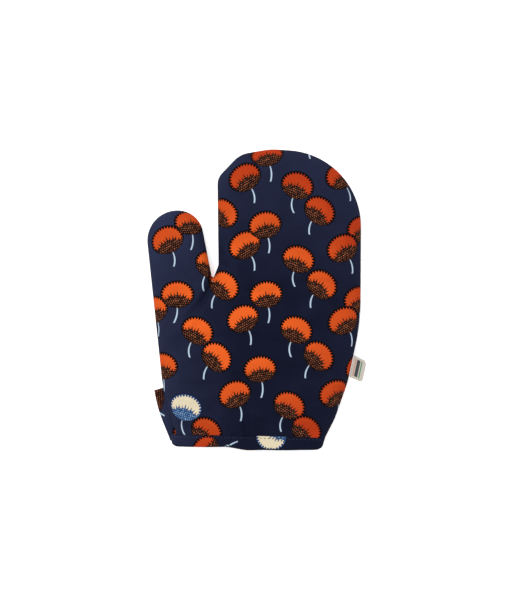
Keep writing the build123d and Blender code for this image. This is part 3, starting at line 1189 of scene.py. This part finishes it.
def cuff_profile():
    """The binding's section: share of the way down, drop in millimetres, and depth."""
    face = [(0.0, 0.15, 0.25), (0.0, 0.0, -0.1), (0.0, -0.25, -PROUD + 0.2), (0.05, -0.45, -PROUD)]
    face += [(s, 0.0, -PROUD) for s in (0.16, 0.3, 0.45, 0.6, 0.75, 0.88)]
    middle, half = (CUFF_WALL - PROUD) / 2, (CUFF_WALL + PROUD) / 2
    under = []
    for a in np.linspace(0, math.pi, 9):
        under.append((1.0, ROUND_UNDER * (1 - math.sin(a)), middle - half * math.cos(a)))
    inside_face = [(s, 0.0, CUFF_WALL) for s in (0.75, 0.5, 0.25, 0.08)]
    skin = face + under + inside_face
    back = [(s, drop, depth - BINDING_CLOTH) for s, drop, depth in inside_face[::-1]]
    half -= BINDING_CLOTH
    for a in np.linspace(math.pi, 0, 9):
        back.append((1.0, ROUND_UNDER + 0.5 - ROUND_UNDER * math.sin(a), middle - half * math.cos(a)))
    back += [(s, 0.0, BINDING_CLOTH - PROUD) for s in (0.75, 0.6, 0.45, 0.3, 0.16)]
    back += [(0.06, 0.0, BINDING_CLOTH - PROUD)]
    return skin + back, len(skin)


def ring_stations():
    """Places round the cuff: x from left to right in front, then right to left behind."""
    share = np.linspace(0, 1, 90)
    eased = 0.5 - 0.5 * np.cos(math.pi * share)
    x = BINDING_LEFT + (BINDING_RIGHT - BINDING_LEFT) * (0.35 * share + 0.65 * eased)
    return [(v, True) for v in x] + [(v, False) for v in x[-2:0:-1]]


def leant(x, y):
    """Places along the cuff, fitted between its ends at that height."""
    left, right = binding_ends(y)
    return left + (x - BINDING_LEFT) / (BINDING_RIGHT - BINDING_LEFT) * (right - left)


def ring_row(share, drop, depth):
    """One row of the binding, right round the cuff."""
    rows = []
    for front in (True, False):
        x = np.array([v for v, f in ring_stations() if f == front])
        top = binding_top(x) if front else np.full(len(x), BINDING_TOP)
        y = top + share * (binding_low(x) - top) + drop
        x = leant(x, y)
        row = cuff_ring(x, y, front, depth)
        if share == 0 and drop >= 0:
            row = tucked(row, x, front)
        rows.append(row)
    return np.concatenate(rows)


def wrap_faces(rows, columns, closed_rows, closed_columns):
    """Quads over a grid of points, joined up in either direction."""
    faces = []
    for i in range(rows if closed_rows else rows - 1):
        for j in range(columns if closed_columns else columns - 1):
            k, l = (i + 1) % rows, (j + 1) % columns
            faces.append((i * columns + j, i * columns + l, k * columns + l, k * columns + j))
    return faces


def make_binding():
    """The folded strip round the cuff's edge."""
    profile, skin = cuff_profile()
    rows = np.array([ring_row(*p) for p in profile])
    points = rows.reshape(-1, 3)
    faces = outward(points, wrap_faces(len(rows), rows.shape[1], True, True))
    piece = new_piece("cuff_edge_binding", points, faces, "binding_cotton")
    print_cloth(piece.data, binding_flat(rows, skin), binding_flowers())
    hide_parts("cuff_binding")
    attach(piece, "palm")


def binding_flat(rows, skin):
    """The rows' places on the binding's flat cloth: along the cuff, and down its face."""
    steps = np.linalg.norm(np.diff(rows[FACE_ROW], axis=0), axis=1)
    along = np.concatenate([[0], np.cumsum(steps)])
    half = len(along) // 2
    along -= np.interp(0, rows[FACE_ROW][: half - 2, 0], along[: half - 2])
    drops = np.linalg.norm(np.diff(rows[:skin], axis=0), axis=2)
    down = np.concatenate([np.zeros((1, len(along))), np.cumsum(drops, axis=0)])
    flat = []
    for i in range(len(rows)):
        k = i if i < skin else max(0, 2 * skin - 1 - i)
        y = rows[FACE_ROW][:, 1] + down[FACE_ROW] - down[k]
        flat.append(np.column_stack([along, y]))
    return np.concatenate(flat)


def binding_flowers():
    """Pieces of the print that fall on the binding; most are cut off by its edges."""
    flowers = [
        Flower((-51.5, -150.5), 78.0, start=(-19.6, -140.4), way=(-12.5, -8.0), bow=-0.8),
        Flower((13.0, -135.4), 142.0, start=(21.0, -120.0), cream=True),
    ]
    for k in range(7):
        at = (110.0 + 47.0 * k, -133.0 - 12.0 * (k % 3))
        flowers.append(Flower(at, 90.0 + 9 * k, bow=-1.0))
    return flowers


def make_topstitch():
    """The running stitch along the binding's top, in front and behind."""
    paths = []
    for front in (True, False):
        x = np.array([v for v, f in ring_stations() if f == front])
        x = np.sort(x)[2:-2]
        top = binding_top(x) if front else np.full(len(x), BINDING_TOP)
        y = top - BINDING_STITCH_DROP
        line = cuff_ring(leant(x, y), y, front, -PROUD)
        paths += running_stitch(line, TOPSTITCH_PITCH, TOPSTITCH_LONG, TOPSTITCH_DIP)
    piece = thread_piece("cuff_topstitch", paths, TOPSTITCH_THREAD, ("binding_topstitch",))
    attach(piece, "palm")


def running_stitch(line, pitch, long, dip):
    """Stitches along a line on a surface, their ends drawn into the cloth."""
    steps = np.linalg.norm(np.diff(line, axis=0), axis=1)
    along = np.concatenate([[0], np.cumsum(steps)])
    paths = []
    for middle in np.arange(along[0] + pitch, along[-1] - pitch, pitch):
        at = middle + long * np.linspace(-0.5, 0.5, 7)
        path = np.stack([np.interp(at, along, line[:, k]) for k in range(3)], 1)
        inward = np.sign(SEAM_Z - path[:, 2].mean())
        path[:, 2] += inward * dip * (np.abs(np.linspace(-1, 1, 7)) ** 3 * 2 - 0.25)
        paths.append(path)
    return paths


# ---- folded strips: the hanging loop and the side label


def folded_strip(long, across, ply, gap):
    """A strip folded in two at its far end, in its own frame: along, across, up.

    long(c) is its folded length at each place across; gap(s, c) the space between the plies."""
    share = 1 - (1 - np.linspace(0, 1, 22)) ** 1.6
    rows = []
    for c in across:
        s = share * long(c)
        lift = gap(s / long(c), c) / 2
        rows.append(strip_section(s, lift, ply, c))
    rows = np.array(rows)
    count = rows.shape[1]
    faces = wrap_faces(len(across), count, False, True)
    half = count // 2
    for row in (0, len(across) - 1):
        for k in range(half - 1):
            a, b = row * count + k, row * count + k + 1
            c, d = row * count + count - 2 - k, row * count + count - 1 - k
            faces.append((a, b, c, d) if row == 0 else (d, c, b, a))
    points = rows.reshape(-1, 3)
    return points, outward(points, faces), count


def strip_section(s, lift, ply, c):
    """The folded strip's section at one place across: its outside, then its inside."""
    bend_at = np.linspace(math.pi / 2, -math.pi / 2, 7)[1:-1]
    end_lift = lift[-1]
    outside = [(v, h + ply) for v, h in zip(s, lift)]
    reach = end_lift + ply
    outside += [(s[-1] + reach * math.cos(a), reach * math.sin(a)) for a in bend_at]
    outside += [(v, -h - ply) for v, h in zip(s[::-1], lift[::-1])]
    inner = [(v, -h) for v, h in zip(s, lift)]
    turn = bend_at[::-1]
    inner += [(s[-1] + end_lift * math.cos(a), end_lift * math.sin(a)) for a in turn]
    inner += [(v, h) for v, h in zip(s[::-1], lift[::-1])]
    return [(v, c, h) for v, h in outside + inner]


def strip_flat(points, count, across):
    """Places on the strip's flat cloth: across it, and along it through the fold."""
    half = count // 2
    flat = np.zeros((len(points), 2))
    for r, c in enumerate(across):
        row = points[r * count : (r + 1) * count]
        outer = row[:half]
        along = np.concatenate([[0], np.cumsum(np.linalg.norm(np.diff(outer, axis=0), axis=1))])
        both = np.concatenate([along, along[::-1]])
        flat[r * count : (r + 1) * count] = np.column_stack([np.full(count, c), both])
    return flat


LOOP_ROOT, LOOP_TIP = np.array([-82.5, -140.5]), np.array([-98.9, -89.6])
LOOP_WIDTH, LOOP_PLY, LOOP_BOW, LOOP_OPEN = 10.0, 0.42, 1.6, 1.5
LOOP_SPREAD = 1.5  # how much wider the pressed strip has become
ROOT_LIFT, ROOT_LIFT_REACH = 2.6, 6.5  # how far the root is drawn up, and how far round it
LOOP_CUT = np.array([-110.0, 60.0])  # the place in the print that the loop was cut from


def pinched(plan):
    """How far the loop's root is drawn up towards the binding, at each place round it."""
    gap = np.linalg.norm(plan - LOOP_ROOT, axis=1)
    return ROOT_LIFT * (1 - smooth(gap, 0, ROOT_LIFT_REACH))


def make_loop():
    """The hanging loop, pressed flat behind the mitt's left edge."""
    u = unit(LOOP_TIP - LOOP_ROOT)
    v = np.array([u[1], -u[0]])
    long = float(np.linalg.norm(LOOP_TIP - LOOP_ROOT)) - 0.7
    across = np.linspace(-LOOP_WIDTH / 2, LOOP_WIDTH / 2 + LOOP_SPREAD, 9)
    points, faces, count = folded_strip(
        lambda c: long - 0.02 * c,
        across,
        LOOP_PLY,
        lambda t, c: 0.12 + LOOP_OPEN * np.sin(math.pi * t) ** 2,
    )
    flat = strip_flat(points, count, across)
    s, c, h = points.T
    t = np.clip(s / long, 0, 1)
    bow = -LOOP_BOW * np.sin(math.pi * t**1.3)
    plan = LOOP_ROOT + np.outer(s, u) + np.outer(c + bow, v)
    edge_roll = 0.12 * np.cos(math.pi * c / LOOP_WIDTH * 2) + 0.15 * np.sin(s / 6.0)
    z = 0.62 + LOOP_OPEN / 2 * np.sin(math.pi * t) ** 2 + h + edge_roll * np.sin(math.pi * t)
    z += pinched(plan)
    points = np.column_stack([plan, np.maximum(z, 0.03)])
    piece = new_piece("loop_strap", points, faces, "binding_cotton")
    print_cloth(piece.data, flat + LOOP_CUT, loop_flowers())
    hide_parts("hanging_loop")
    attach(piece, "loop")


def loop_flowers():
    """What the strip's cut of the print shows: seeds at its fold, a bit of stem, a bit of head."""
    places = (-9.5, 46.0), (-6.0, 31.4), (15.5, 4.0)
    seeds_at, stem_at, head_at = (LOOP_CUT + place for place in places)
    return [
        Flower(seeds_at, 78.0, start=stem_at, way=(4.6, -5.6), bow=0.0),
        Flower(head_at, 20.0, start=head_at + 40.0),
        Flower(LOOP_CUT + (-14.0, 92.0), -70.0),
    ]


TACK_Z, TACK_THREAD = 1.28, 0.22


def make_bartack():
    """The zigzag that holds the loop's root."""
    u = unit(LOOP_TIP - LOOP_ROOT)
    v = np.array([u[1], -u[0]])
    zigs = 15
    path = []
    for k in range(zigs):
        across = -LOOP_WIDTH / 2 + 0.7 + (LOOP_WIDTH - 1.4) * k / (zigs - 1)
        along = 1.1 + (1.1 if k % 2 else -1.1)
        path.append((*(LOOP_ROOT + u * (along + 0.6) + v * across), TACK_Z))
    path = np.array(path)
    path[:, 2] += pinched(path[:, :2])
    shank = []
    for k in range(7):
        foot = LOOP_ROOT + u * 0.9 + v * (0.5 * k - 1.5)
        top = TACK_Z + ROOT_LIFT + (2.3 if k % 2 else -0.1)
        shank.append((*foot, top))
    piece = thread_piece("loop_bar_tack", [path, np.array(shank)], TACK_THREAD, ("loop_bartack",))
    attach(piece, "loop")


LABEL_TOP, LABEL_BOTTOM = np.array([97.1, -55.6]), np.array([92.5, -77.0])
LABEL_REACH, LABEL_LEAN, LABEL_PLY, LABEL_Z = 13.6, -25.0, 0.4, 12.0
LABEL_ROUND = 4.6  # radius of its outer corners


def label_reach(c):
    """The label's folded length at each place across it: its outer corners are rounded."""
    half = float(np.linalg.norm(LABEL_TOP - LABEL_BOTTOM)) / 2
    near = max(0.0, abs(c) - (half - LABEL_ROUND)) / LABEL_ROUND
    return LABEL_REACH - 0.7 * LABEL_ROUND * (1 - math.sqrt(max(0.0, 1 - near**2)))


def make_label():
    """The folded label caught in the side seam."""
    u = turned([1.0, 0.0], LABEL_LEAN)
    v = unit(LABEL_TOP - LABEL_BOTTOM)
    root = (LABEL_TOP + LABEL_BOTTOM) / 2
    half = float(np.linalg.norm(LABEL_TOP - LABEL_BOTTOM)) / 2
    across = half * np.sin(np.linspace(-1, 1, 25) * math.pi / 2)
    points, faces, count = folded_strip(
        label_reach, across, LABEL_PLY, lambda t, c: 0.1 + 0.25 * np.sin(math.pi * t)
    )
    flat = strip_flat(points, count, across)
    s, c, h = points.T
    t = s / LABEL_REACH
    curl = 0.9 * t**2 * (0.4 + (c / half) ** 2) + 0.25 * np.sin(c / 3.4) * t
    plan = root + np.outer(s, u) + np.outer(c, v)
    points = np.column_stack([plan, LABEL_Z + h - 0.8 * np.sin(1.6 * t) + curl])
    piece = new_piece("folded_side_label", points, faces, "label_weave")
    cloth_map(piece.data, flat[:, ::-1])
    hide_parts("side_label")
    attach(piece, "label")


# ---------------------------------------------------------------- camera, light, floor


# The lamps: name, place, size in metres and power.
LAMPS = (("key", (-0.7, 0.8, 1.9), 1.3, 34), ("fill", (1.0, -0.8, 1.8), 1.8, 12))
FLOOR_SIZE, FLOOR_WHITE, FLOOR_GLOW, SKY = 6.0, 0.92, 0.5, 0.6


def make_studio():
    """A pale floor, an even sky, a key light from the thumb's side and a weaker fill."""
    bpy.ops.mesh.primitive_plane_add(size=FLOOR_SIZE, location=(0, 0, 0))
    floor = bpy.context.object
    floor.name = "studio_floor"
    paint = bpy.data.materials.new("studio_floor")
    paint.use_nodes = True
    shader = paint.node_tree.nodes["Principled BSDF"]
    shader.inputs["Base Color"].default_value = (FLOOR_WHITE, FLOOR_WHITE, FLOOR_WHITE, 1)
    shader.inputs["Roughness"].default_value = 0.9
    shader.inputs["Specular IOR Level"].default_value = 0.1
    shader.inputs["Emission Color"].default_value = (1, 1, 1, 1)
    shader.inputs["Emission Strength"].default_value = FLOOR_GLOW
    floor.data.materials.append(paint)
    world = bpy.data.worlds.new("studio")
    bpy.context.scene.world = world
    world.use_nodes = True
    world.node_tree.nodes["Background"].inputs["Color"].default_value = (1, 1, 1, 1)
    world.node_tree.nodes["Background"].inputs["Strength"].default_value = SKY
    for name, place, size, power in LAMPS:
        lamp = bpy.data.lights.new(name, "AREA")
        lamp.size, lamp.energy = size, power
        lamp_object = bpy.data.objects.new(name, lamp)
        lamp_object.location = place
        lamp_object.rotation_euler = (-Vector(place)).to_track_quat("-Z", "Y").to_euler()
        bpy.context.scene.collection.objects.link(lamp_object)
    bpy.context.scene.view_settings.view_transform = "Standard"


def make_camera():
    """Straight above, with the seam's plane 0.6 m tall in the picture."""
    height, tall = 1.5, 0.6
    camera = bpy.data.cameras.new("camera")
    camera.sensor_fit = "VERTICAL"
    camera.sensor_height = 24.0
    camera.lens = camera.sensor_height * (height - SEAM_Z * MM) / tall
    view = bpy.data.objects.new("camera", camera)
    view.location = (-0.0005, -0.0003, height)
    bpy.context.scene.collection.objects.link(view)
    bpy.context.scene.camera = view


make_camera()
make_studio()
make_panels()
make_seams()
make_binding()
make_topstitch()
make_loop()
make_bartack()
make_label()
